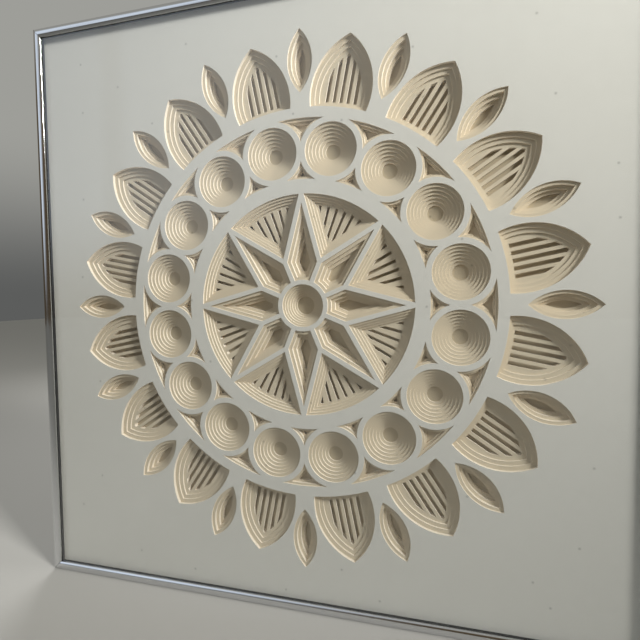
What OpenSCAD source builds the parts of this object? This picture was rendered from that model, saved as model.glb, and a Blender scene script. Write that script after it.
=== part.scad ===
// Framed layered paper relief.
// A stack of square card sheets, each cut with smaller windows than the one in front of it,
// held under a clear glazing sheet in a polished metal section frame.
// The picture stands in the XZ plane and faces -Y. Depths are counted from the frame's front.

/* [Sheets] */
// Side of the square sheets
sheet_w = 610; // [604:1:640]
// Thickness of one card sheet of the relief
sheet_t = 1.8; // [1.2:0.1:2.4]
// Thickness of the clear glazing
glazing_t = 2; // [1.5:0.1:4]
// Thickness of the backing board
backing_t = 3; // [2:0.5:6]
// Gap that the spacer strips keep between the glazing and the face sheet
spacer_t = 3; // [1:0.5:8]
// Width of the spacer strips
spacer_w = 5.5; // [3:0.5:6]

/* [Frame section] */
// How far the front lip reaches over the glazing
lip_overlap = 6.5; // [6:0.5:10]
// Depth of the front lip, crown included
lip_t = 3; // [2.4:0.1:5]
// How far the crown of the lip stands above its edges
crown_h = 1.6; // [0.8:0.1:2]
// Thickness of the frame's outer wall
wall_t = 1.8; // [1.2:0.1:3]
// Thickness of the flanges and lips of the rear channel
flange_t = 1.3; // [1:0.1:2]
// Free height inside the rear channel
channel_h = 4.4; // [4:0.1:6]
// Outside width of the rear channel, frame wall included
channel_w = 12; // [11:0.5:16]
// How far each lip of the rear channel reaches over it
channel_lip = 1.7; // [1:0.1:2.5]
// Play between the edges of the sheets and the frame wall
sheet_play = 1; // [0.5:0.1:2]

/* [Hardware] */
// Thickness of the threaded corner angles
angle_t = 2; // [1.5:0.1:2.5]
// Thickness of the plain corner shims
shim_t = 0.8; // [0.5:0.1:1.2]
// Length of each leg of the corner angles and shims
angle_leg = 38; // [32:1:60]
// Radius of the corner set screws
screw_r = 1.9; // [1.4:0.1:2.2]
// Distance from the outer corner to the first set screw
screw_first = 17; // [16:0.5:20]
// Spacing of the two set screws in a leg
screw_step = 13; // [7:0.5:14]
// Gap behind the backing board for the spring clips
spring_gap = 3; // [2:0.1:5]
// Thickness of the spring clips' strip
spring_t = 0.5; // [0.3:0.1:0.8]
// Width of the spring clips
spring_w = 8.5; // [6:0.5:9]
// Length of the spring clips
spring_len = 50; // [40:1:70]
// Distance of the spring clips from the middle of a rail
spring_at = 150; // [60:1:220]
// Thickness of the hanger plates
hanger_t = 1.2; // [1:0.1:2]
// Height of the hangers above the middle of the picture
hanger_up = 190; // [60:1:240]
// Radius of the round hole in a hanger
hanger_hole_r = 3.5; // [2.5:0.1:4.5]
// Width of a hanger plate
hanger_w = 18; // [14:1:24]

/* [Rosette rings] */
// Radius of the round window in the star's hub
hub_r = 21; // [18:0.5:23]
// Inner radius of the wide ring
wide_in_r = 109; // [100:0.5:118]
// Width of the wide ring
wide_w = 14; // [10:0.5:18]
// Width of the band of roundels between the two rings
band_w = 58; // [54:0.5:62]
// Width of the narrow ring
narrow_w = 10; // [7:0.5:13]

/* [Star] */
// Number of points of the star
star_n = 8; // [6:1:10]
// How far beyond the wide ring's inner edge the edges of a star point would meet
star_reach = 9; // [6:0.5:12]
// Radius of the notches between the star's points
star_notch_r = 50; // [46:0.5:54]
// Width of the rim around the kite windows
kite_rim = 4.5; // [4:0.5:6]
// Inset of a kite window from one pair of sheets to the next
kite_step = 3; // [2:0.1:3.6]
// Inset of the hub window from one sheet to the next
hub_step = 2; // [1:0.1:2.5]
// Inset of the field windows from one sheet to the next
field_step = 2.4; // [1.5:0.1:3]
// Number of radial slots in each field between two star points
field_slots = 8; // [5:1:9]
// Angle between two radial slots
field_slot_pitch = 5; // [4.5:0.1:5.4]
// Width of a radial slot
field_slot_w = 3; // [2:0.1:3.6]

/* [Roundels] */
// Number of roundels, which is also the number of petals
roundel_n = 16; // [12:1:18]
// Width left between two roundels where they are closest
roundel_rib = 8.3; // [7:0.1:12]
// Least width left between a roundel and the rings
roundel_margin = 2.5; // [2:0.1:5]
// Width of the rim between a roundel and the spandrels
roundel_rim = 5.5; // [4.5:0.1:6.5]
// Inset of a roundel from one sheet to the next
roundel_step = 3; // [1.5:0.1:3.2]
// Inset of the spandrels between the roundels from one pair of sheets to the next
spandrel_step = 2; // [1.2:0.1:2.4]

/* [Petals] */
// Gap between two petals where they are widest
petal_gap = 20.4; // [17:0.1:26]
// Distance from the narrow ring to a petal's widest place
petal_rise = 15; // [10:0.5:20]
// Distance from a petal's widest place to its tip
petal_run = 52; // [42:0.5:60]
// Inset of a petal's sides from one step to the next
petal_step = 4; // [3:0.1:4.5]
// Inset of a petal's base from one step to the next
petal_base_step = 2; // [1:0.1:3]
// Number of slots in a petal
petal_slots = 5; // [3:1:6]
// Width of a petal's slots
petal_slot_w = 3.8; // [2:0.1:4.2]
// Spacing of a petal's slots
petal_slot_pitch = 6.9; // [5:0.1:7.2]
// Width left between a leaf's middle and the petals beside it
leaf_rib = 7.2; // [6:0.1:10]
// Distance from the narrow ring to a leaf's inner tip
leaf_start = 14; // [12:0.5:20]
// Length of a leaf
leaf_len = 60; // [46:0.5:66]
// Inset of a leaf from one pair of sheets to the next
leaf_step = 3; // [1.6:0.1:3.2]

/* [Hidden] */
$fn = 96;

// How far a cutting shape runs past what it cuts
cut_margin = 1;
// Small play between a piece of hardware and what holds it
fit_play = 0.2;
// Play of a set screw in its threaded hole
thread_play = 0.05;
// Number of the sheet that carries the radial slots of the star field, with the face as 0
field_slot_sheet = 4;
// Number of the sheet that carries the slots of the petals
petal_slot_sheet = 4;
// Number of the ground sheet, which has no windows
ground_number = 7;
// Number of the first sheet that closes the spandrels
spandrel_floor = 5;

// Overall sizes
face_w = lip_overlap + sheet_play + wall_t;
outer_w = sheet_w + 2 * (sheet_play + wall_t);
far = outer_w;

// Depths from the front of the frame
glazing_d = lip_t;
spacer_d = glazing_d + glazing_t;
relief_d = spacer_d + spacer_t;
backing_d = relief_d + (ground_number + 1) * sheet_t;
spring_d = backing_d + backing_t;
channel_d = spring_d + spring_gap;
channel_floor_d = channel_d + flange_t;
channel_roof_d = channel_floor_d + channel_h;
frame_d = channel_roof_d + flange_t;
total_d = frame_d + hanger_t;

// Y of a depth, with the origin in the middle of the whole object
function y_at(depth) = depth - total_d / 2;

// Rear channel, measured inwards from the outer face of a rail
channel_in = channel_w - flange_t;
slot_lo = wall_t + channel_lip;
slot_hi = channel_in - channel_lip;
slot_mid = (slot_lo + slot_hi) / 2;
screw_bore_r = screw_r + thread_play;
screw_top_d = frame_d - flange_t / 2;

// Radii of the rings, from the middle out, and of the circle that the roundels stand on
wide_out_r = wide_in_r + wide_w;
narrow_in_r = wide_out_r + band_w;
narrow_out_r = narrow_in_r + narrow_w;
roundel_at_r = (wide_out_r + narrow_in_r) / 2;
roundel_half = 180 / roundel_n;

// A roundel is as large as its neighbours and the rings let it be
roundel_r = min(roundel_at_r * sin(roundel_half) - roundel_rib / 2, band_w / 2 - roundel_margin);

// Radius of an arc that falls away by half_w over this run from its highest point
function arc_r(run, half_w) = (run * run / half_w + half_w) / 2;

// A petal is as wide as the gap to the next one lets it be
petal_wide_r = narrow_out_r + petal_rise;
petal_tip_r = petal_wide_r + petal_run;
petal_half_w = petal_wide_r * sin(roundel_half) - petal_gap / 2;
petal_arc_r = arc_r(petal_run, petal_half_w);

// A leaf is as wide as the arcs of the petals beside it let it be
leaf_run = leaf_len / 2;
leaf_at_r = narrow_out_r + leaf_start + leaf_run;
leaf_x = leaf_at_r * cos(roundel_half) - petal_wide_r;
leaf_y = leaf_at_r * sin(roundel_half) + petal_arc_r - petal_half_w;
leaf_half_w = norm([leaf_x, leaf_y]) - petal_arc_r - leaf_rib;

// Angles of the star: at a point, at a notch, and half the pitch
star_tip_r = wide_in_r + star_reach;
star_half = 180 / star_n;
notch_x = star_notch_r * cos(star_half);
notch_y = star_notch_r * sin(star_half);
point_angle = atan2(notch_y, star_tip_r - notch_x);
notch_angle = star_half + point_angle;

// A sheet standing in the XZ plane, its front at this depth
module upright(depth, thickness) {
    translate([0, y_at(depth) + thickness, 0])
        rotate([90, 0, 0])
            linear_extrude(thickness) children();
}

// Copies of a shape around the middle, from a first angle on
module around(count, first = 0) {
    for (i = [0:count - 1]) rotate(first + i * 360 / count) children();
}

// The inside of an angle whose corner is at x and which opens outwards along X
module angle_out(x, half) {
    polygon([[x, 0], [x + far * cos(half), -far * sin(half)], [x + far * cos(half), far * sin(half)]]);
}

// The inside of an angle whose corner is at x and which opens back towards the middle
module angle_in(x, half) {
    polygon([[x, 0], [x - far * cos(half), far * sin(half)], [x - far * cos(half), -far * sin(half)]]);
}

// Round window in the hub
module hub_window(inset) {
    circle(r = hub_r - inset);
}

// Kite window in a point of the star
module kite_window(inset) {
    rim = kite_rim + inset;
    difference() {
        intersection() {
            angle_in(star_tip_r - rim / sin(point_angle), point_angle);
            angle_out((kite_rim / 2 + inset) / sin(star_half), star_half);
        }
        circle(r = hub_r + rim);
    }
}

// Field window between two points of the star
module field_window(inset) {
    intersection() {
        circle(r = wide_in_r - inset);
        angle_out(star_notch_r + inset / sin(notch_angle), notch_angle);
    }
}

// Radial slots of a field
module field_slot_fan(inset) {
    intersection() {
        field_window(inset);
        for (i = [0:field_slots - 1])
            rotate((i - (field_slots - 1) / 2) * field_slot_pitch)
                translate([0, -field_slot_w / 2]) square([wide_in_r, field_slot_w]);
    }
}

// Round window of a roundel
module roundel_window(inset) {
    translate([roundel_at_r, 0]) circle(r = roundel_r - inset);
}

// What the two roundels beside a spandrel keep for their rims
module roundel_rims(inset) {
    for (side = [-1, 1])
        rotate(side * roundel_half)
            translate([roundel_at_r, 0]) circle(r = roundel_r + roundel_rim + inset);
}

// Curved windows between two roundels, one towards each ring
module spandrel_windows(inset) {
    waist_r = roundel_at_r * cos(roundel_half);
    difference() {
        intersection() {
            circle(r = narrow_in_r - inset);
            angle_out(0, roundel_half);
        }
        circle(r = waist_r);
        roundel_rims(inset);
    }
    difference() {
        intersection() {
            circle(r = waist_r);
            angle_out(0, roundel_half);
        }
        circle(r = wide_out_r + inset);
        roundel_rims(inset);
    }
}

// Pointed arch between two equal arcs, widest at x and ending this run further out and in
module pointed_arch(x, run, half_w, inset) {
    r = arc_r(run, half_w);
    intersection() {
        translate([x, r - half_w]) circle(r = r - inset);
        translate([x, half_w - r]) circle(r = r - inset);
    }
}

// Pointed petal window outside the narrow ring
module petal_window(inset, base_inset) {
    difference() {
        pointed_arch(petal_wide_r, petal_run, petal_half_w, inset);
        circle(r = narrow_out_r + base_inset);
    }
}

// Slots of a petal, all parallel to its axis
module petal_slot_row(inset, base_inset) {
    intersection() {
        petal_window(inset, base_inset);
        for (i = [0:petal_slots - 1])
            translate([narrow_out_r, (i - (petal_slots - 1) / 2) * petal_slot_pitch - petal_slot_w / 2])
                square([petal_tip_r - narrow_out_r, petal_slot_w]);
    }
}

// Slender leaf window between two petals, pointed at both ends
module leaf_window(inset) {
    pointed_arch(leaf_at_r, leaf_run, leaf_half_w, inset);
}

// Sheets behind the face share the outline of a kite, spandrel or leaf in pairs
function pair_stage(number) = ceil(number / 2);

// Sheets 0 and 1 share the petal's outline, and each sheet behind them goes in by one step
function petal_stage(number) = max(number - 1, 0);

// Everything that is cut out of one sheet
module windows(number) {
    field_inset = min(number, field_slot_sheet) * field_step;
    petal_inset = petal_stage(number) * petal_step;
    petal_base = petal_stage(number) * petal_base_step;
    slot_inset = petal_stage(petal_slot_sheet) * petal_step;
    slot_base = petal_stage(petal_slot_sheet) * petal_base_step;
    hub_window(number * hub_step);
    around(star_n) kite_window(pair_stage(number) * kite_step);
    around(star_n, star_half)
        if (number == field_slot_sheet) field_slot_fan(field_inset);
        else field_window(field_inset);
    around(roundel_n, roundel_half) roundel_window(number * roundel_step);
    if (number < spandrel_floor) around(roundel_n) spandrel_windows(pair_stage(number) * spandrel_step);
    around(roundel_n, roundel_half)
        if (number < petal_slot_sheet) petal_window(petal_inset, petal_base);
        else if (number == petal_slot_sheet) petal_slot_row(slot_inset, slot_base);
        else petal_window(slot_inset, slot_base);
    around(roundel_n) leaf_window(pair_stage(number) * leaf_step);
}

// One sheet of the relief, counted from the face
module relief_sheet(number) {
    color([0.93, 0.90, 0.83])
        upright(relief_d + number * sheet_t, sheet_t)
            difference() {
                square(sheet_w, center = true);
                windows(number);
            }
}

module ground_sheet() {
    color([0.90, 0.86, 0.78])
        upright(relief_d + ground_number * sheet_t, sheet_t) square(sheet_w, center = true);
}

module glazing() {
    color([0.85, 0.92, 0.93, 0.3]) upright(glazing_d, glazing_t) square(sheet_w, center = true);
}

module backing_board() {
    color([0.45, 0.33, 0.22]) upright(backing_d, backing_t) square(sheet_w, center = true);
}

// Spacer strip along the lower edge of the sheets; side strips stop short of the long ones
module spacer_strip(length) {
    color([0.10, 0.10, 0.11])
        upright(spacer_d, spacer_t)
            translate([-length / 2, -sheet_w / 2]) square([length, spacer_w]);
}

// Section of a rail: X is depth from the front, Y is inwards from the outer face
module rail_section() {
    crown_r = (face_w * face_w / 4 + crown_h * crown_h) / (2 * crown_h);
    intersection() {
        translate([crown_r, face_w / 2]) circle(r = crown_r);
        square([lip_t, face_w]);
    }
    translate([crown_h, 0]) square([frame_d - crown_h, wall_t]);
    translate([channel_d, 0]) square([flange_t, channel_w]);
    translate([channel_d, channel_in]) square([frame_d - channel_d, flange_t]);
    translate([channel_roof_d, 0]) square([flange_t, slot_lo]);
    translate([channel_roof_d, slot_hi]) square([flange_t, channel_w - slot_hi]);
}

// The lower rail, with its ends mitred
module rail() {
    half = outer_w / 2;
    inner = half - channel_w - cut_margin;
    color([0.72, 0.73, 0.75])
        intersection() {
            translate([0, y_at(0), -half])
                rotate([90, 0, 90]) linear_extrude(outer_w, center = true) rail_section();
            upright(-cut_margin, frame_d + 2 * cut_margin)
                polygon([[-half, -half], [half, -half], [inner, -inner], [-inner, -inner]]);
        }
}

// Outline of a corner angle in the lower left corner, with some play in the channel
module angle_outline() {
    lo = wall_t + fit_play;
    hi = channel_in - fit_play;
    translate([-outer_w / 2, -outer_w / 2]) {
        translate([lo, lo]) square([angle_leg, hi - lo]);
        translate([lo, lo]) square([hi - lo, angle_leg]);
    }
}

// Places of the four set screws of the lower left corner
module at_screws() {
    translate([-outer_w / 2, -outer_w / 2])
        for (i = [0, 1]) {
            translate([screw_first + i * screw_step, slot_mid]) children();
            translate([slot_mid, screw_first + i * screw_step]) children();
        }
}

module corner_angle() {
    color([0.55, 0.56, 0.57])
        upright(channel_roof_d - angle_t, angle_t)
            difference() {
                angle_outline();
                at_screws() circle(r = screw_bore_r);
            }
}

module corner_shim() {
    color([0.50, 0.51, 0.52]) upright(channel_floor_d, shim_t) angle_outline();
}

// Slotted set screws of one corner, which push the angle and the shim apart
module corner_screw_set() {
    start_d = channel_floor_d + shim_t;
    slot_d = angle_t / 2;
    color([0.35, 0.35, 0.36])
        difference() {
            upright(start_d, screw_top_d - start_d) at_screws() circle(r = screw_r);
            upright(screw_top_d - slot_d, slot_d + cut_margin)
                at_screws() square([2 * screw_r + cut_margin, screw_r / 3], center = true);
        }
}

// Bowed spring clip between the backing board and the lower rail's channel, at x
module spring_clip(x) {
    bow = spring_gap - spring_t - 2 * fit_play;
    bow_r = (spring_len * spring_len / 4 + bow * bow) / (2 * bow);
    touch_d = spring_d + fit_play;
    color([0.60, 0.61, 0.63])
        translate([x, y_at(touch_d), -outer_w / 2 + wall_t + sheet_play])
            linear_extrude(spring_w)
                intersection() {
                    difference() {
                        translate([0, bow_r + spring_t]) circle(r = bow_r + spring_t);
                        translate([0, bow_r + spring_t]) circle(r = bow_r);
                    }
                    translate([-spring_len / 2, 0]) square([spring_len, spring_gap - 2 * fit_play]);
                }
}

// Hanger on the right rail: a foot in the channel, a neck through its slot, and a drilled plate
module hanger() {
    ear_in = channel_w + hanger_w / 2;
    foot_t = hanger_t;
    color([0.62, 0.60, 0.55])
        translate([outer_w / 2, 0, hanger_up])
            mirror([1, 0, 0]) {
                upright(channel_roof_d - foot_t, foot_t)
                    translate([wall_t + fit_play, -hanger_w / 2])
                        square([channel_in - wall_t - 2 * fit_play, hanger_w]);
                upright(channel_roof_d - foot_t, flange_t + foot_t + hanger_t)
                    translate([slot_lo + fit_play, -hanger_w / 3])
                        square([slot_hi - slot_lo - 2 * fit_play, hanger_w * 2 / 3]);
                upright(frame_d, hanger_t)
                    difference() {
                        union() {
                            translate([slot_lo, -hanger_w / 2]) square([ear_in - slot_lo, hanger_w]);
                            translate([ear_in, 0]) circle(r = hanger_w / 2);
                        }
                        translate([ear_in, 0]) circle(r = hanger_hole_r);
                    }
            }
}

// Turns a piece of the lower side onto another side of the frame
module onto_side(quarter_turns) {
    rotate([0, 90 * quarter_turns, 0]) children();
}

onto_side(0) rail();  // rail_bottom
onto_side(1) rail();  // rail_left
onto_side(2) rail();  // rail_top
onto_side(3) rail();  // rail_right
glazing();
onto_side(0) spacer_strip(sheet_w);  // spacer_bottom
onto_side(1) spacer_strip(sheet_w - 2 * spacer_w);  // spacer_left
onto_side(2) spacer_strip(sheet_w);  // spacer_top
onto_side(3) spacer_strip(sheet_w - 2 * spacer_w);  // spacer_right
relief_sheet(0);  // face_sheet
for (number = [1:ground_number - 1])
    relief_sheet(number);
ground_sheet();
backing_board();
for (corner = [1:4]) {
    onto_side(corner - 1) corner_angle();
    onto_side(corner - 1) corner_shim();
}
for (corner = [1:4]) onto_side(corner - 1) corner_screw_set();  // corner_screws
for (clip = [1:8])
    onto_side(floor((clip - 1) / 2)) spring_clip(clip % 2 == 1 ? -spring_at : spring_at);
hanger();  // hanger_right
mirror([1, 0, 0]) hanger();  // hanger_left
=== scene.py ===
"""Looks of a framed relief of stacked cut card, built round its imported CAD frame.

Every piece keeps the place that the frame gives it. Lengths are metres unless a name says mm.
"""
import math

import bmesh
import bpy
import numpy as np
from mathutils import Matrix, Vector


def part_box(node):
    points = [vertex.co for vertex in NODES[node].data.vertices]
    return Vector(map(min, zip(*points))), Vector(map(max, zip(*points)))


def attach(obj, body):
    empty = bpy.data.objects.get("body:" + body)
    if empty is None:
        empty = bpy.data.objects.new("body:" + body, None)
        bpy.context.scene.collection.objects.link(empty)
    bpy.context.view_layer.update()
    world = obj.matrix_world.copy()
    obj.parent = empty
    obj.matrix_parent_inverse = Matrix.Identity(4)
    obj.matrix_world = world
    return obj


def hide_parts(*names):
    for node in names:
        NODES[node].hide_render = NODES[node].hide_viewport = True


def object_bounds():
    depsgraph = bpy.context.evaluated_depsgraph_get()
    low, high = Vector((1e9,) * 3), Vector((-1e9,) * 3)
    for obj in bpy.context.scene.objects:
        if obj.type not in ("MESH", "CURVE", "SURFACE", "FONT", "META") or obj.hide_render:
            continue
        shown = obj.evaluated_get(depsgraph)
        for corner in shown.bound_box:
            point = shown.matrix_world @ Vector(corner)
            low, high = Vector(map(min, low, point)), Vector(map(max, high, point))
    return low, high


bl_info = {
    "name": "Card Relief Picture",
    "version": (1, 0, 0),
    "blender": (4, 5, 0),
    "location": "View3D > Sidebar > Card Relief",
    "description": "Finishes for a framed relief of stacked cut card, with its studio stage",
    "category": "Object",
}

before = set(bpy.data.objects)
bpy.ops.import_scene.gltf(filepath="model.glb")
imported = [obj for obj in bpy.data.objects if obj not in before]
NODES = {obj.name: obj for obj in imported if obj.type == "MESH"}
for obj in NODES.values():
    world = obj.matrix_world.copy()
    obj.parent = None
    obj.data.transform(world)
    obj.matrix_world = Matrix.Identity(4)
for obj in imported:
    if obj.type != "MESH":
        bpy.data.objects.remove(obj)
CAD_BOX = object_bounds()
MM = 0.001

FACE_LO, FACE_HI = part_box("face_sheet")
SHEET_T = FACE_HI.y - FACE_LO.y
RAIL_LO, RAIL_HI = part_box("rail_bottom")
# Quarter turns that carry the lower rail onto each side of the frame
RAIL_TURNS = {"rail_bottom": 0, "rail_left": 1, "rail_top": 2, "rail_right": 3}
RELIEF_SHEETS = tuple(sorted(name for name in NODES if name.startswith("relief_sheet_")))

# Points along the crown's arc, and steps in each rounded edge of the metal section
CROWN_POINTS = 25
EDGE_STEPS = 4
# Least bend of the section that shows as a sharp line, in degrees
SHARP_BEND = 29
# Bends of a stamped piece: less than the first is flat, and more than the second is a broken edge, in degrees
FLAT_BEND, BROKEN_BEND = 0.5, 40

# The two soft lights: size, place and target in metres, colour, and the beam in degrees
KEY_LIGHT = (0.44, (1.65, -0.84, 1.05), (0.14, 0.0, 0.30), (1.0, 0.985, 0.95), 46)
REAR_LIGHT = (1.2, (-0.9, 2.0, 1.1), (0.0, 0.0, 0.0), (1.0, 1.0, 1.0), 90)
# Half of the floor's side, and the nearest distance that the camera sees, in metres
FLOOR_HALF = 6.0
CLIP_START = 0.02

# Where the studio's tones change, by the sine of a view's height, or of its turn to the rear
ROOM_RISE = (0.0, 0.9)
CEILING_RISE = (0.32, 0.5)
SWEEP_RISE = (0.0, 0.3)
BACKDROP_TURN = (0.0, 0.6)
# The window, by how far a view lies aside as X over Y: its bar's middle, its slant with the height, and
# how many times its colour it shines
WINDOW_BAR = 0.8
WINDOW_SLANT = 0.6
WINDOW_GAIN = 1.35


def tone(hex_value):
    """Linear colour of an sRGB hex value, by the standard's two-part curve."""
    parts = [int(hex_value[i:i + 2], 16) / 255 for i in (1, 3, 5)]
    return tuple(c / 12.92 if c <= 0.04045 else ((c + 0.055) / 1.055) ** 2.4 for c in parts)


def colour(name, description, hex_value):
    """A colour that the panel offers, from its sRGB hex value."""
    return bpy.props.FloatVectorProperty(
        name=name, description=description, default=tone(hex_value), size=3, min=0, max=1, subtype="COLOR")


def length(name, description, default):
    """A length in metres that the panel offers."""
    return bpy.props.FloatProperty(
        name=name, description=description, default=default, min=0, precision=5, unit="LENGTH")


def angle(name, description, degrees):
    """An angle that the panel offers, given in degrees."""
    return bpy.props.FloatProperty(
        name=name, description=description, default=math.radians(degrees), unit="ROTATION")


def power(name, description, watts):
    """A light's power that the panel offers."""
    return bpy.props.FloatProperty(name=name, description=description, default=watts, min=0, unit="POWER")


class CardReliefFinish(bpy.types.PropertyGroup):
    """Colours and grain sizes of the picture's own materials."""

    face_card: colour("Face card", "Colour of the uncoated front sheet", "#DBD8D4")
    # Creamier than the face card, and darker with painted shade of the recesses behind the front sheet
    relief_card: colour("Relief card", "Colour of the sheets behind the front one", "#D4C7B3")
    # Darker still, with painted shade of the deepest recess
    ground_card: colour("Ground card", "Colour of the uncut rear sheet", "#C0B29C")
    cut_edge: colour("Cut edge", "Colour of the card's core where it is cut", "#F4EADD")
    card_grain: length("Card grain", "Size of the cloudy patches in the card's pulp", 7 * MM)
    card_tooth: length("Card tooth", "Size of the felt marks on the card's surface", 0.9 * MM)
    # Width of the painted shade along each join between two sheets
    seam: length("Glue seam", "Width of the dark line where two sheets are glued", 0.16 * MM)
    rail_metal: colour("Rail metal", "Colour of the polished section", "#DFE0E2")
    rail_line: length("Rail lines", "Spacing of the die lines along a rail", 0.6 * MM)
    glass_tint: colour("Glass tint", "Colour of light that has passed the glazing", "#FDFEFD")
    board: colour("Backing board", "Colour of the smooth side of the hardboard", "#65523B")
    board_fibre: length("Board fibre", "Length of the pressed fibres in the board", 3 * MM)
    zinc: colour("Zinc plate", "Colour of the plated corner angles and hangers", "#B9B7AC")
    black_steel: colour("Black steel", "Colour of the oxide on the set screws", "#3A3B3D")
    spring_steel: colour("Spring steel", "Colour of the tempered clips", "#8A8F96")
    foam: colour("Spacer foam", "Colour of the strips between glass and card", "#17171A")


class CardReliefSection(bpy.types.PropertyGroup):
    """Sizes of the metal section, as its die gives them."""

    face: length("Face width", "Width of the front lip", 9.3 * MM)
    crown: length("Crown", "Height of the rounded crown above its edges", 1.6 * MM)
    wall: length("Wall", "Thickness of the outer wall", 1.8 * MM)
    flange: length("Flange", "Thickness of the rear channel's walls", 1.3 * MM)
    channel: length("Channel width", "Width of the rear channel with the wall", 12 * MM)
    channel_depth: length("Channel depth", "Depth of the rear channel over all", 7 * MM)
    channel_lip: length("Channel lip", "Reach of each lip over the rear channel", 1.7 * MM)
    edge: length("Edge", "How far each edge of the section is rounded off", 0.28 * MM)
    mitre: length("Mitre gap", "Half of the hairline between two mitred ends", 0.05 * MM)


class CardReliefStage(bpy.types.PropertyGroup):
    """The studio round the picture, and where the camera stands."""

    floor: colour("Floor", "Colour of the plain floor", "#AAA9A5")
    room_low: colour("Room", "Dim light from level with the viewer", "#4A4032")
    room_high: colour("Upper room", "Dim light from over the viewer", "#74634B")
    ceiling: colour("Ceiling", "Pale band over the upper room, which the rails mirror", "#A09F99")
    backdrop: colour("Backdrop", "Light from behind the picture", "#9E9E99")
    horizon: colour("Horizon", "Tone that the backdrop fades to where it meets the floor", "#5C5D5C")
    window: colour("Window", "Light of the wide dim window at the viewer's left", "#C9D3DF")
    key_power: power("Key light", "Power of the soft light at the upper right", 5.5)
    fill_power: power("Rear light", "Power of the soft light behind the picture", 10)
    camera_side: length("Camera to the right", "Distance of the camera from the rosette's axis", 138.5 * MM)
    camera_up: length("Camera up", "Height of the camera above the rosette's middle", 9.8 * MM)
    camera_away: length("Camera distance", "Distance of the camera from the front sheet", 438.5 * MM)
    camera_yaw: angle("Camera yaw", "Turn of the camera to the left", 15.4)
    camera_pitch: angle("Camera pitch", "Tilt of the camera above level", -3.0)
    camera_roll: angle("Camera roll", "Turn of the camera about its own axis", -0.6)
    view_half: angle("Half view", "Half of the camera's angle of view", 34.42)


# Sockets of a Mix node for colours: its first and second colour, and what comes out
FIRST, SECOND, MIXED = 6, 7, 2


def add(tree, kind, inputs=(), **settings):
    """Adds a node, sets its properties, and fills or links its inputs by name or number."""
    node = tree.nodes.new(kind)
    for key, value in settings.items():
        setattr(node, key, value)
    for key, value in dict(inputs).items():
        if isinstance(value, bpy.types.NodeSocket):
            tree.links.new(value, node.inputs[key])
        else:
            node.inputs[key].default_value = value
    return node


def blank_material(name):
    """A new material and its node tree, which is empty."""
    material = bpy.data.materials.new(name)
    material.use_nodes = True
    material.node_tree.nodes.clear()
    return material, material.node_tree


def shaded(colour_value, share):
    """A colour with each channel times this share, with its alpha."""
    return tuple(c * share for c in colour_value) + (1.0,)


def card_material(name, finish, face_colour, mottle):
    """Museum board: pulp pressed on felt, cut by machine.

    The face is matt with faint clouds of pulp, a few specks of bran and a felt tooth. Cut walls show
    the board's warmer core, with a thin dark line of painted shade along each join where one sheet is
    glued to the next.
    """
    material, tree = blank_material(name)
    coords = add(tree, "ShaderNodeTexCoord")
    place = coords.outputs["Object"]
    clouds = add(tree, "ShaderNodeTexNoise", {
        "Vector": place, "Scale": 1 / finish.card_grain, "Detail": 4.0, "Roughness": 0.5})
    pulp = add(tree, "ShaderNodeMix", {
        "Factor": clouds.outputs["Fac"],
        FIRST: shaded(face_colour, 1 - mottle), SECOND: shaded(face_colour, 1.0)}, data_type="RGBA")
    depth = add(tree, "ShaderNodeSeparateXYZ", {"Vector": place})
    on_sheet = add(tree, "ShaderNodeCombineXYZ", {"X": depth.outputs["X"], "Y": depth.outputs["Z"]})
    # Specks of bran are drawn about four times as wide as the real half millimetre so that they show
    apart, dark_radius, faded_radius = 75 * MM, 0.6 * MM, 1.65 * MM
    cells = add(tree, "ShaderNodeTexVoronoi", {
        "Vector": on_sheet.outputs[0], "Scale": 1 / apart}, voronoi_dimensions="2D")
    speck = add(tree, "ShaderNodeMapRange", {
        "Value": cells.outputs["Distance"], "From Min": dark_radius / apart, "From Max": faded_radius / apart,
        "To Min": 0.72, "To Max": 1.0})
    face = add(tree, "ShaderNodeMix", {
        "Factor": 1.0,
        FIRST: pulp.outputs[MIXED], SECOND: speck.outputs[0]}, data_type="RGBA", blend_type="MULTIPLY")
    facing = add(tree, "ShaderNodeSeparateXYZ", {"Vector": coords.outputs["Normal"]})
    flat = add(tree, "ShaderNodeMath", {0: facing.outputs["Y"]}, operation="ABSOLUTE")
    # A wall's normal lies across the Y axis and a face's along it
    wall = add(tree, "ShaderNodeMath", {0: flat.outputs[0], 1: 0.5}, operation="LESS_THAN")
    # Cut walls are painted darker along each join between sheets, as the join's painted shade
    from_face = add(tree, "ShaderNodeMath", {0: depth.outputs["Y"], 1: FACE_LO.y}, operation="SUBTRACT")
    to_seam_shade = add(tree, "ShaderNodeMath", {0: from_face.outputs[0], 1: SHEET_T}, operation="PINGPONG")
    in_seam_shade = add(tree, "ShaderNodeMapRange", {
        "Value": to_seam_shade.outputs[0], "From Min": 0.0, "From Max": finish.seam, "To Min": 0.55, "To Max": 1.0})
    edge = add(tree, "ShaderNodeMix", {
        "Factor": in_seam_shade.outputs[0],
        FIRST: shaded(finish.cut_edge, 0.3), SECOND: shaded(finish.cut_edge, 1.0)}, data_type="RGBA")
    surface = add(tree, "ShaderNodeMix", {
        "Factor": wall.outputs[0],
        FIRST: face.outputs[MIXED], SECOND: edge.outputs[MIXED]}, data_type="RGBA")
    # The felt tooth is drawn a little coarser than the real 0.3 mm so that it shows at all
    tooth = add(tree, "ShaderNodeTexNoise", {
        "Vector": place, "Scale": 1 / finish.card_tooth, "Detail": 2.0, "Roughness": 0.6})
    relief = add(tree, "ShaderNodeBump", {
        "Height": tooth.outputs["Fac"], "Strength": 0.25, "Distance": 0.05 * MM})
    shader = add(tree, "ShaderNodeBsdfPrincipled", {
        "Base Color": surface.outputs[MIXED], "Roughness": 0.92, "Specular IOR Level": 0.25,
        "Normal": relief.outputs["Normal"]})
    add(tree, "ShaderNodeOutputMaterial", {"Surface": shader.outputs["BSDF"]})
    return material


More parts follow.
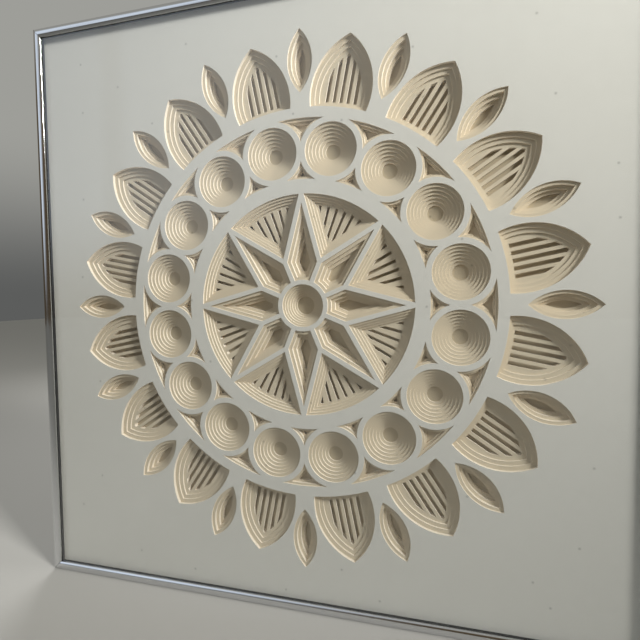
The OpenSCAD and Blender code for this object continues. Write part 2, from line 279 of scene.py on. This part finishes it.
def rail_material(name, finish, along):
    """Aluminium section: extruded, mechanically polished and clear anodised.

    It mirrors the room with a slight blur, drawn out by fine die lines that run along the rail. The
    oxide dulls it in soft patches, and the hairline where two mitred ends meet has its shade painted
    as a dark line.
    """
    material, tree = blank_material(name)
    place = add(tree, "ShaderNodeTexCoord").outputs["Object"]
    drawn_out = 0.004
    stretch = [1.0, 1.0, 1.0]
    stretch[along] = drawn_out
    lines_place = add(tree, "ShaderNodeMapping", {"Vector": place, "Scale": stretch})
    lines = add(tree, "ShaderNodeTexNoise", {
        "Vector": lines_place.outputs[0], "Scale": 1 / finish.rail_line, "Detail": 2.0, "Roughness": 0.7})
    dull_patch = 45 * MM
    patches = add(tree, "ShaderNodeTexNoise", {
        "Vector": place, "Scale": 1 / dull_patch, "Detail": 3.0, "Roughness": 0.6})
    gloss = add(tree, "ShaderNodeMapRange", {
        "Value": patches.outputs["Fac"], "To Min": 0.05, "To Max": 0.14})
    grooves = add(tree, "ShaderNodeBump", {
        "Height": lines.outputs["Fac"], "Strength": 0.10, "Distance": 0.03 * MM})
    body = add(tree, "ShaderNodeMix", {
        "Factor": lines.outputs["Fac"],
        FIRST: shaded(finish.rail_metal, 0.92), SECOND: shaded(finish.rail_metal, 1.0)}, data_type="RGBA")
    # On a mitre a point is as far out in x as in z
    sides = add(tree, "ShaderNodeVectorMath", {0: place}, operation="ABSOLUTE")
    spans = add(tree, "ShaderNodeSeparateXYZ", {"Vector": sides.outputs["Vector"]})
    off_mitre = add(tree, "ShaderNodeMath", {
        0: spans.outputs["X"], 1: spans.outputs["Z"]}, operation="SUBTRACT")
    from_mitre = add(tree, "ShaderNodeMath", {0: off_mitre.outputs[0]}, operation="ABSOLUTE")
    # The real hairline is 0.1 mm wide, and its shade is painted as a dark line about three times as
    # wide so that it shows
    mitre_shade_width, mitre_shade_fade = 0.12 * MM, 0.35 * MM
    off_mitre_shade = add(tree, "ShaderNodeMapRange", {
        "Value": from_mitre.outputs[0], "From Min": mitre_shade_width, "From Max": mitre_shade_fade})
    metal = add(tree, "ShaderNodeMix", {
        "Factor": off_mitre_shade.outputs[0],
        FIRST: shaded(finish.rail_metal, 0.12), SECOND: body.outputs[MIXED]}, data_type="RGBA")
    shader = add(tree, "ShaderNodeBsdfPrincipled", {
        "Base Color": metal.outputs[MIXED], "Metallic": 1.0, "Roughness": gloss.outputs[0],
        "Normal": grooves.outputs["Normal"]})
    add(tree, "ShaderNodeOutputMaterial", {"Surface": shader.outputs["BSDF"]})
    return material


def glass_material(name, finish):
    """Float glass: clear, 2 mm, with both faces' reflection drawn at the front one.

    It lets light straight through and mirrors about a twelfth of what stands in front of it, more
    towards the grazing edge.
    """
    material, tree = blank_material(name)
    one_face = add(tree, "ShaderNodeFresnel", {"IOR": 1.52})
    # The rear face adds a little less than the front one, because it gets what the front one lets through
    gain = 1.9
    both_faces = add(tree, "ShaderNodeMath", {
        0: one_face.outputs[0], 1: gain}, operation="MULTIPLY", use_clamp=True)
    behind = add(tree, "ShaderNodeNewGeometry").outputs["Backfacing"]
    front = add(tree, "ShaderNodeMath", {0: 1.0, 1: behind}, operation="SUBTRACT")
    share = add(tree, "ShaderNodeMath", {0: both_faces.outputs[0], 1: front.outputs[0]}, operation="MULTIPLY")
    clear = add(tree, "ShaderNodeBsdfTransparent", {"Color": shaded(finish.glass_tint, 1.0)})
    gloss = add(tree, "ShaderNodeBsdfGlossy", {"Color": (1, 1, 1, 1), "Roughness": 0.03})
    pane = add(tree, "ShaderNodeMixShader", {
        0: share.outputs[0], 1: clear.outputs[0], 2: gloss.outputs[0]})
    add(tree, "ShaderNodeOutputMaterial", {"Surface": pane.outputs[0]})
    return material


def board_material(name, finish):
    """Hardboard: steamed wood fibre, hot pressed, smooth side out.

    Short pale and dark fibres lie every way in a brown ground with a dull waxy sheen.
    """
    material, tree = blank_material(name)
    place = add(tree, "ShaderNodeTexCoord").outputs["Object"]
    warp = add(tree, "ShaderNodeTexNoise", {
        "Vector": place, "Scale": 1 / finish.board_fibre, "Detail": 5.0, "Roughness": 0.75})
    pressed_patch = 45 * MM
    clouds = add(tree, "ShaderNodeTexNoise", {
        "Vector": place, "Scale": 1 / pressed_patch, "Detail": 3.0, "Roughness": 0.5})
    spread = add(tree, "ShaderNodeMapRange", {"Value": warp.outputs["Fac"], "From Min": 0.3, "From Max": 0.7})
    fibres = add(tree, "ShaderNodeMix", {
        "Factor": spread.outputs[0],
        FIRST: shaded(finish.board, 0.72), SECOND: shaded(finish.board, 1.35)}, data_type="RGBA")
    ground = add(tree, "ShaderNodeMix", {
        "Factor": clouds.outputs["Fac"],
        FIRST: shaded(finish.board, 0.85), SECOND: fibres.outputs[MIXED]}, data_type="RGBA")
    skin = add(tree, "ShaderNodeBump", {
        "Height": warp.outputs["Fac"], "Strength": 0.3, "Distance": 0.08 * MM})
    shader = add(tree, "ShaderNodeBsdfPrincipled", {
        "Base Color": ground.outputs[MIXED], "Roughness": 0.55, "Specular IOR Level": 0.4,
        "Normal": skin.outputs["Normal"]})
    add(tree, "ShaderNodeOutputMaterial", {"Surface": shader.outputs["BSDF"]})
    return material


def steel_material(name, metal, roughness, grain):
    """Sheet steel: stamped, then plated or blackened.

    The coat is even, with soft patches of gloss the size of its grain.
    """
    material, tree = blank_material(name)
    place = add(tree, "ShaderNodeTexCoord").outputs["Object"]
    patches = add(tree, "ShaderNodeTexNoise", {
        "Vector": place, "Scale": 1 / grain, "Detail": 3.0, "Roughness": 0.6})
    brightest, dullest = roughness * 0.75, roughness * 1.3
    gloss = add(tree, "ShaderNodeMapRange", {
        "Value": patches.outputs["Fac"], "To Min": brightest, "To Max": dullest})
    coat = add(tree, "ShaderNodeMix", {
        "Factor": patches.outputs["Fac"],
        FIRST: shaded(metal, 0.82), SECOND: shaded(metal, 1.05)}, data_type="RGBA")
    shader = add(tree, "ShaderNodeBsdfPrincipled", {
        "Base Color": coat.outputs[MIXED], "Metallic": 1.0, "Roughness": gloss.outputs[0]})
    add(tree, "ShaderNodeOutputMaterial", {"Surface": shader.outputs["BSDF"]})
    return material


def foam_material(name, finish):
    """Cross-linked foam strip: skived, black and matt, with open cells at its face."""
    material, tree = blank_material(name)
    place = add(tree, "ShaderNodeTexCoord").outputs["Object"]
    # The real cells are about 0.3 mm wide and are drawn coarser so that they show
    cell = 0.8 * MM
    cells = add(tree, "ShaderNodeTexVoronoi", {"Vector": place, "Scale": 1 / cell})
    pores = add(tree, "ShaderNodeBump", {
        "Height": cells.outputs["Distance"], "Strength": 0.4, "Distance": 0.1 * MM})
    # The foam is painted darker in the pits of its cells than on their rims, as painted shade in the pits
    body = add(tree, "ShaderNodeMix", {
        "Factor": cells.outputs["Distance"],
        FIRST: shaded(finish.foam, 0.7), SECOND: shaded(finish.foam, 1.2)}, data_type="RGBA")
    shader = add(tree, "ShaderNodeBsdfPrincipled", {
        "Base Color": body.outputs[MIXED], "Roughness": 0.85, "Normal": pores.outputs["Normal"]})
    add(tree, "ShaderNodeOutputMaterial", {"Surface": shader.outputs["BSDF"]})
    return material


def link_piece(name, data):
    """An object at the origin that holds this mesh, light or camera."""
    made = bpy.data.objects.new(name, data)
    bpy.context.scene.collection.objects.link(made)
    return made


def keep_piece(piece, node):
    """Lets a piece ride on the picture in the place of a CAD node."""
    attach(piece, "root")
    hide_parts(node)


def softened(node, material, edge):
    """A copy of a small CAD piece whose edges are broken by this length, as tumbling breaks them."""
    mesh = NODES[node].data.copy()
    mesh.name = "soft_" + node
    work = bmesh.new()
    work.from_mesh(mesh)
    bmesh.ops.remove_doubles(work, verts=work.verts, dist=0.001 * MM)
    bmesh.ops.dissolve_limit(
        work, angle_limit=math.radians(FLAT_BEND), verts=work.verts, edges=work.edges)
    work.to_mesh(mesh)
    work.free()
    mesh.materials.clear()
    mesh.materials.append(material)
    piece = link_piece("soft_" + node, mesh)
    bevel = piece.modifiers.new("edge", "BEVEL")
    bevel.width = edge
    bevel.segments = 2
    bevel.limit_method = "ANGLE"
    bevel.angle_limit = math.radians(BROKEN_BEND)
    keep_piece(piece, node)


def screw_head(name, x, material):
    """A low pan head with a cross recess, on the hanger plate at this x.

    Over the polar grid (r, t) the height above the plate is H (1 - (r/R)^4), less the recess D
    times (1 - q), where q rises smoothly from 0 to 1 as the nearer arm of the cross is left:
    q = smooth((min(|a|, |b|) - w) / e) or smooth((max(|a|, |b|) - L) / e), whichever is more,
    with a = r cos t, b = r sin t, half width w, arm L and flank e.
    """
    head, height, recess = 2.5 * MM, 0.55 * MM, 0.45 * MM
    arm, half_width, flank = 1.55 * MM, 0.28 * MM, 0.18 * MM
    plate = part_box("hanger_right")
    rings, spokes = 30, 96
    r, t = np.meshgrid(
        np.linspace(0, head, rings + 1)[1:], np.arange(spokes) * 2 * np.pi / spokes, indexing="ij")
    a, b = np.abs(r * np.cos(t)), np.abs(r * np.sin(t))

    def smooth(v):
        """Goes from 0 to 1 as v does, level at both ends."""
        v = np.clip(v, 0, 1)
        return v * v * (3 - 2 * v)

    outside = np.maximum(
        smooth((np.minimum(a, b) - half_width) / flank), smooth((np.maximum(a, b) - arm) / flank))
    rise = height * (1 - (r / head) ** 4) - recess * (1 - outside)
    middle_z = (plate[0].z + plate[1].z) / 2
    points = np.stack([x + r * np.cos(t), plate[1].y + rise, middle_z + r * np.sin(t)], axis=2).reshape(-1, 3)
    centre = np.array([[x, plate[1].y + height - recess, middle_z]])
    i, j = np.meshgrid(np.arange(rings - 1), np.arange(spokes), indexing="ij")
    k = (j + 1) % spokes
    inner, outer = i * spokes, (i + 1) * spokes
    quads = np.stack([inner + j, inner + k, outer + k, outer + j], axis=2).reshape(-1, 4)
    first = np.arange(spokes)
    fan = np.stack([np.full(spokes, len(points)), (first + 1) % spokes, first], axis=1)
    mesh = bpy.data.meshes.new(name)
    mesh.from_pydata(np.concatenate([points, centre]).tolist(), [], quads.tolist() + fan.tolist())
    mesh.shade_smooth()
    mesh.materials.append(material)
    piece = link_piece(name, mesh)
    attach(piece, "root")


def dress(names, material):
    """Gives these CAD nodes one material in every slot."""
    for name in names:
        slots = NODES[name].data.materials
        slots.clear()
        slots.append(material)


class CARDRELIEF_OT_card(bpy.types.Operator):
    """Finish the stack of cut card sheets"""

    bl_idname = "card_relief.card"
    bl_label = "Card Sheets"

    def execute(self, context):
        finish = context.scene.card_relief_finish
        dress(["face_sheet"], card_material("museum_board_face", finish, finish.face_card, 0.05))
        # The sheets behind the front one get creamier card whose darker tone is painted shade of the recesses
        dress(RELIEF_SHEETS, card_material("museum_board_relief_and_shade", finish, finish.relief_card, 0.06))
        dress(["ground_sheet"], card_material("museum_board_ground_and_shade", finish, finish.ground_card, 0.08))
        return {"FINISHED"}


def rounded_outline(corners, cuts, steps):
    """A closed outline whose corners are rounded by parabolas.

    At a corner P the arc runs from A to B, which lie on the two sides at the cut length from P. Its
    points are (1-s)(1-s) A + 2s(1-s) P + s s B for s from 0 to 1.
    """
    before = np.roll(corners, 1, axis=0) - corners
    after = np.roll(corners, -1, axis=0) - corners
    before /= np.linalg.norm(before, axis=1, keepdims=True)
    after /= np.linalg.norm(after, axis=1, keepdims=True)
    start = corners + before * cuts[:, None]
    end = corners + after * cuts[:, None]
    s = np.linspace(0, 1, steps + 1)[None, :, None]
    arcs = (1 - s) ** 2 * start[:, None] + 2 * s * (1 - s) * corners[:, None] + s ** 2 * end[:, None]
    sharp = cuts == 0
    return np.concatenate([arc[:1] if plain else arc for arc, plain in zip(arcs, sharp)])


def section_outline(section):
    """Outline of the metal section: columns are inwards from the outer face, and back from the front.

    The crown is an arc through both edges of the front lip: with half width a and height h its
    radius is (a a + h h) / 2h. The rest is a wall with a channel behind, open to the rear.
    """
    face, crown, wall, flange = section.face, section.crown, section.wall, section.flange
    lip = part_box("glazing")[0].y - RAIL_LO.y
    back = RAIL_HI.y - RAIL_LO.y
    channel = back - section.channel_depth
    roof = back - flange
    inner = section.channel - flange
    slot = (wall + section.channel_lip, inner - section.channel_lip)
    half = face / 2
    radius = (half ** 2 + crown ** 2) / (2 * crown)
    turn = np.arcsin(half / radius) * np.linspace(-1, 1, CROWN_POINTS)
    arc = np.stack([half + radius * np.sin(turn), radius - radius * np.cos(turn)], axis=1)
    rest = np.array([
        [face, lip], [wall, lip], [wall, channel], [section.channel, channel], [section.channel, back],
        [slot[1], back], [slot[1], roof], [inner, roof], [inner, channel + flange], [wall, channel + flange],
        [wall, roof], [slot[0], roof], [slot[0], back], [0.0, back]])
    corners = np.concatenate([arc, rest])
    cuts = np.full(len(corners), section.edge)
    cuts[1:len(arc) - 1] = 0
    return rounded_outline(corners, cuts, EDGE_STEPS)


def mitred_rail(name, section, turns):
    """A length of the section with both ends cut at 45 degrees.

    An outline point that lies u inwards and d back is carried from x = -(w - u) to x = w - u at
    y = front + d, z = u - w, where w is half the frame's width less the mitre gap in x. The lower
    rail made so is then turned about the Y axis by quarter turns.
    """
    outline = section_outline(section)
    count = len(outline)
    inwards, depth = outline.T
    half = RAIL_HI.x
    reach = half - inwards - section.mitre
    across = np.stack([-reach, reach])
    up = np.broadcast_to(inwards - half, across.shape)
    back = np.broadcast_to(RAIL_LO.y + depth, across.shape)
    cos, sin = np.round([math.cos(turns * math.pi / 2), math.sin(turns * math.pi / 2)])
    points = np.stack([cos * across + sin * up, back, cos * up - sin * across], axis=2).reshape(-1, 3)
    here = np.arange(count)
    there = np.roll(here, -1)
    sides = np.stack([here, there, there + count, here + count], axis=1).tolist()
    caps = [here[::-1].tolist(), (here + count).tolist()]
    mesh = bpy.data.meshes.new(name)
    mesh.from_pydata(points.tolist(), [], sides + caps)
    mesh.shade_smooth()
    mesh.set_sharp_from_angle(angle=math.radians(SHARP_BEND))
    return link_piece(name, mesh)


class CARDRELIEF_OT_rails(bpy.types.Operator):
    """Draw the four rails again with a smooth crown and rounded edges"""

    bl_idname = "card_relief.rails"
    bl_label = "Frame Rails"

    def execute(self, context):
        finish = context.scene.card_relief_finish
        section = context.scene.card_relief_section
        metals = (rail_material("polished_aluminium_across", finish, 0),
                  rail_material("polished_aluminium_upright", finish, 2))
        for node, turns in RAIL_TURNS.items():
            rail = mitred_rail("polished_" + node, section, turns)
            rail.data.materials.append(metals[turns % 2])
            keep_piece(rail, node)
        return {"FINISHED"}


class CARDRELIEF_OT_glazing(bpy.types.Operator):
    """Finish the glazing and the strips that hold it off the card"""

    bl_idname = "card_relief.glazing"
    bl_label = "Glazing and Spacers"

    def execute(self, context):
        finish = context.scene.card_relief_finish
        dress(["glazing"], glass_material("float_glass", finish))
        dress([name for name in NODES if name.startswith("spacer_")], foam_material("black_foam", finish))
        return {"FINISHED"}


class CARDRELIEF_OT_back(bpy.types.Operator):
    """Finish the backing board and the hardware in the rear channel"""

    bl_idname = "card_relief.back"
    bl_label = "Back and Hardware"

    def execute(self, context):
        finish = context.scene.card_relief_finish
        dress(["backing_board"], board_material("hardboard", finish))
        zinc = steel_material("zinc_plated_steel", finish.zinc, 0.38, 5 * MM)
        black = steel_material("black_oxide_steel", finish.black_steel, 0.42, 1.5 * MM)
        spring = steel_material("spring_steel", finish.spring_steel, 0.28, 9 * MM)
        dress([name for name in NODES if name.startswith("corner_shim_")], zinc)
        dress([name for name in NODES if name.startswith("spring_clip_")], spring)
        for corner in range(1, 5):
            softened("corner_angle_%d" % corner, zinc, 0.15 * MM)
        for side in ("left", "right"):
            softened("hanger_" + side, zinc, 0.25 * MM)
        section = context.scene.card_relief_section
        slot_mid = (section.wall + section.channel - section.flange) / 2
        for side, sign in (("left", -1), ("right", 1)):
            screw_head("hanger_screw_" + side, sign * (RAIL_HI.x - slot_mid), zinc)
        softened("corner_screws", black, 0.1 * MM)
        return {"FINISHED"}


def area_light(name, watts, size, place, target, warmth, beam):
    """A soft square light at a place, turned to a target, its beam held to this many degrees."""
    light = bpy.data.lights.new(name, "AREA")
    light.energy = watts
    light.size = size
    light.color = warmth
    light.spread = math.radians(beam)
    holder = link_piece(name, light)
    holder.location = place
    holder.rotation_euler = (Vector(target) - Vector(place)).to_track_quat("-Z", "Y").to_euler()
    holder.visible_camera = False


def floor_object(stage):
    """A square floor under the lower rail, plain and matt."""
    half, low = FLOOR_HALF, CAD_BOX[0].z
    corners = [(-half, -half, low), (half, -half, low), (half, half, low), (-half, half, low)]
    mesh = bpy.data.meshes.new("floor")
    mesh.from_pydata(corners, [], [(0, 1, 2, 3)])
    floor = link_piece("floor", mesh)
    material, tree = blank_material("plain_floor")
    shader = add(tree, "ShaderNodeBsdfPrincipled", {
        "Base Color": shaded(stage.floor, 1.0), "Roughness": 0.8, "Specular IOR Level": 0.2})
    add(tree, "ShaderNodeOutputMaterial", {"Surface": shader.outputs["BSDF"]})
    floor.data.materials.append(material)


def studio_sky(stage):
    """A studio seen as a far sky, with no edge in it.

    The viewer's half is dim and grows lighter with the height of the view, so that the windows in
    the card keep their shadows. Over it lies a pale band that the rails mirror. A window at the
    upper left, with one soft upright bar, gives the glass its cool veil. The half behind the picture
    is a pale backdrop that darkens towards the floor, as a paper sweep does.
    """
    world = bpy.data.worlds.new("studio")
    world.use_nodes = True
    tree = world.node_tree
    tree.nodes.clear()
    looks = add(tree, "ShaderNodeTexCoord").outputs["Generated"]
    view = add(tree, "ShaderNodeSeparateXYZ", {"Vector": looks})
    height = view.outputs["Z"]
    aside = add(tree, "ShaderNodeMath", {
        0: view.outputs["X"], 1: view.outputs["Y"]}, operation="DIVIDE").outputs[0]
    leaning = add(tree, "ShaderNodeMath", {
        0: height, 1: WINDOW_SLANT, 2: aside}, operation="MULTIPLY_ADD").outputs[0]
    off_bar = add(tree, "ShaderNodeMath", {0: aside, 1: WINDOW_BAR}, operation="SUBTRACT")
    from_bar = add(tree, "ShaderNodeMath", {0: off_bar.outputs[0]}, operation="ABSOLUTE").outputs[0]
    # Each edge of the window: what it is measured on, where it is dark and where lit, and its least light
    window_edges = {
        "right": (leaning, 0.1, 0.9, 0.0),
        "left": (aside, 1.8, 1.3, 0.0),
        "sill": (height, -0.05, 0.2, 0.0),
        "head": (height, 0.75, 0.5, 0.0),
        "bar": (from_bar, 0.01, 0.05, 0.75),
    }
    pane = 1.0
    for value, dark, lit, least in window_edges.values():
        edge = add(tree, "ShaderNodeMapRange", {
            "Value": value, "From Min": dark, "From Max": lit, "To Min": least},
            interpolation_type="SMOOTHSTEP")
        pane = add(tree, "ShaderNodeMath", {0: pane, 1: edge.outputs[0]}, operation="MULTIPLY").outputs[0]
    # Each tone is laid over the ones before it: how much of it a view gets, and the tone itself
    room_share = add(tree, "ShaderNodeMapRange", {
        "Value": height, "From Min": ROOM_RISE[0], "From Max": ROOM_RISE[1]})
    ceiling_share = add(tree, "ShaderNodeMapRange", {
        "Value": height, "From Min": CEILING_RISE[0], "From Max": CEILING_RISE[1]},
        interpolation_type="SMOOTHSTEP")
    viewer_half = shaded(stage.room_low, 1.0)
    for share, over in (
            (room_share.outputs[0], shaded(stage.room_high, 1.0)),
            (ceiling_share.outputs[0], shaded(stage.ceiling, 1.0)),
            (pane, shaded(stage.window, WINDOW_GAIN))):
        viewer_half = add(tree, "ShaderNodeMix", {
            "Factor": share, FIRST: viewer_half, SECOND: over}, data_type="RGBA").outputs[MIXED]
    sweep = add(tree, "ShaderNodeMapRange", {
        "Value": height, "From Min": SWEEP_RISE[0], "From Max": SWEEP_RISE[1]},
        interpolation_type="SMOOTHSTEP")
    backdrop = add(tree, "ShaderNodeMix", {
        "Factor": sweep.outputs[0],
        FIRST: shaded(stage.horizon, 1.0), SECOND: shaded(stage.backdrop, 1.0)}, data_type="RGBA")
    behind = add(tree, "ShaderNodeMapRange", {
        "Value": view.outputs["Y"], "From Min": BACKDROP_TURN[0], "From Max": BACKDROP_TURN[1]},
        interpolation_type="SMOOTHSTEP")
    whole = add(tree, "ShaderNodeMix", {
        "Factor": behind.outputs[0],
        FIRST: viewer_half, SECOND: backdrop.outputs[MIXED]}, data_type="RGBA")
    glow = add(tree, "ShaderNodeBackground", {"Color": whole.outputs[MIXED], "Strength": 1.0})
    add(tree, "ShaderNodeOutputWorld", {"Surface": glow.outputs[0]})
    bpy.context.scene.world = world


def photo_camera(stage):
    """The camera at the photograph's angle: right of the picture, turned left, almost level."""
    data = bpy.data.cameras.new("photo_camera")
    data.lens = data.sensor_width / 2 / math.tan(stage.view_half)
    holder = link_piece("photo_camera", data)
    place = Vector((stage.camera_side, FACE_LO.y - stage.camera_away, stage.camera_up))
    yaw = Matrix.Rotation(stage.camera_yaw, 4, "Z")
    pitch = Matrix.Rotation(math.pi / 2 + stage.camera_pitch, 4, "X")
    roll = Matrix.Rotation(stage.camera_roll, 4, "Z")
    holder.matrix_world = Matrix.Translation(place) @ yaw @ pitch @ roll
    data.clip_start = CLIP_START
    bpy.context.scene.camera = holder


class CARDRELIEF_OT_stage(bpy.types.Operator):
    """Build the floor, the studio light and the camera"""

    bl_idname = "card_relief.stage"
    bl_label = "Stage"

    def execute(self, context):
        stage = context.scene.card_relief_stage
        floor_object(stage)
        studio_sky(stage)
        area_light("key", stage.key_power, *KEY_LIGHT)
        area_light("rear", stage.fill_power, *REAR_LIGHT)
        photo_camera(stage)
        context.scene.view_settings.view_transform = "Standard"
        return {"FINISHED"}


class CARDRELIEF_PT_panel(bpy.types.Panel):
    """Lists the steps that finish the picture"""

    bl_idname = "CARDRELIEF_PT_panel"
    bl_label = "Card Relief Picture"
    bl_space_type = "VIEW_3D"
    bl_region_type = "UI"
    bl_category = "Card Relief"

    def draw(self, context):
        scene = context.scene
        for group in (scene.card_relief_finish, scene.card_relief_section, scene.card_relief_stage):
            column = self.layout.column()
            for key in group.__annotations__:
                column.prop(group, key)
        for step in STEPS:
            self.layout.operator(step.bl_idname)


STEPS = (
    CARDRELIEF_OT_stage, CARDRELIEF_OT_card, CARDRELIEF_OT_rails, CARDRELIEF_OT_glazing, CARDRELIEF_OT_back)
CLASSES = (CardReliefFinish, CardReliefSection, CardReliefStage, *STEPS, CARDRELIEF_PT_panel)


def register():
    """Adds the classes and their settings to Blender."""
    for entry in CLASSES:
        bpy.utils.register_class(entry)
    bpy.types.Scene.card_relief_finish = bpy.props.PointerProperty(type=CardReliefFinish)
    bpy.types.Scene.card_relief_section = bpy.props.PointerProperty(type=CardReliefSection)
    bpy.types.Scene.card_relief_stage = bpy.props.PointerProperty(type=CardReliefStage)


def unregister():
    """Takes the settings and the classes out again."""
    del bpy.types.Scene.card_relief_stage
    del bpy.types.Scene.card_relief_section
    del bpy.types.Scene.card_relief_finish
    for entry in reversed(CLASSES):
        bpy.utils.unregister_class(entry)


def main():
    register()
    bpy.ops.card_relief.stage()
    bpy.ops.card_relief.card()
    bpy.ops.card_relief.rails()
    bpy.ops.card_relief.glazing()
    bpy.ops.card_relief.back()


if __name__ == "__main__":
    main()
